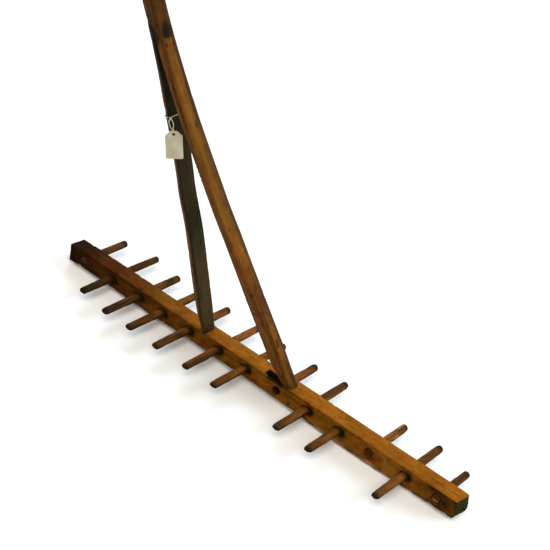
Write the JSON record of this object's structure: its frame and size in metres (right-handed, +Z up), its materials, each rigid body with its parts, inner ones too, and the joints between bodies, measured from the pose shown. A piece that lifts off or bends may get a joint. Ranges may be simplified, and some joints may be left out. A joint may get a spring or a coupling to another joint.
{
  "type": "hay rake",
  "caption": "Wooden hay rake with dowel teeth through both sides of a square head and one pole handle split into two sprung arms mortised into the head.",
  "frame": {"origin": "middle of the flat underside of the head", "axes": "+X along the head, -Y towards the front teeth, which is the side that the handle leans to, +Z up through the head"},
  "size_m": [0.788, 0.861, 1.4908],
  "materials": {
    "head_wood": "worn, waxed by handling, orange-brown",
    "tooth_wood": "dark, polished by hay",
    "handle_wood": "worn smooth outside, dark grey-green on the sawn faces",
    "iron": "rusted dark",
    "card": "matt card",
    "string": "thin cotton string"
  },
  "bodies": {
    "root": {"head_beam": "head_wood", "tooth_01": "tooth_wood", "tooth_02": "tooth_wood", "tooth_03": "tooth_wood", "tooth_04": "tooth_wood", "tooth_05": "tooth_wood", "tooth_06": "tooth_wood", "tooth_07": "tooth_wood", "tooth_08": "tooth_wood", "tooth_09": "tooth_wood", "tooth_10": "tooth_wood", "tooth_11": "tooth_wood", "tooth_12": "tooth_wood", "tooth_13": "tooth_wood", "split_handle": "handle_wood", "split_rivet": "iron", "rivet_washer_left": "iron", "tenon_nail_left": "iron", "rivet_washer_right": "iron", "tenon_nail_right": "iron", "tag_string": "string", "lot_tag": "card"}
  },
  "joints": []
}
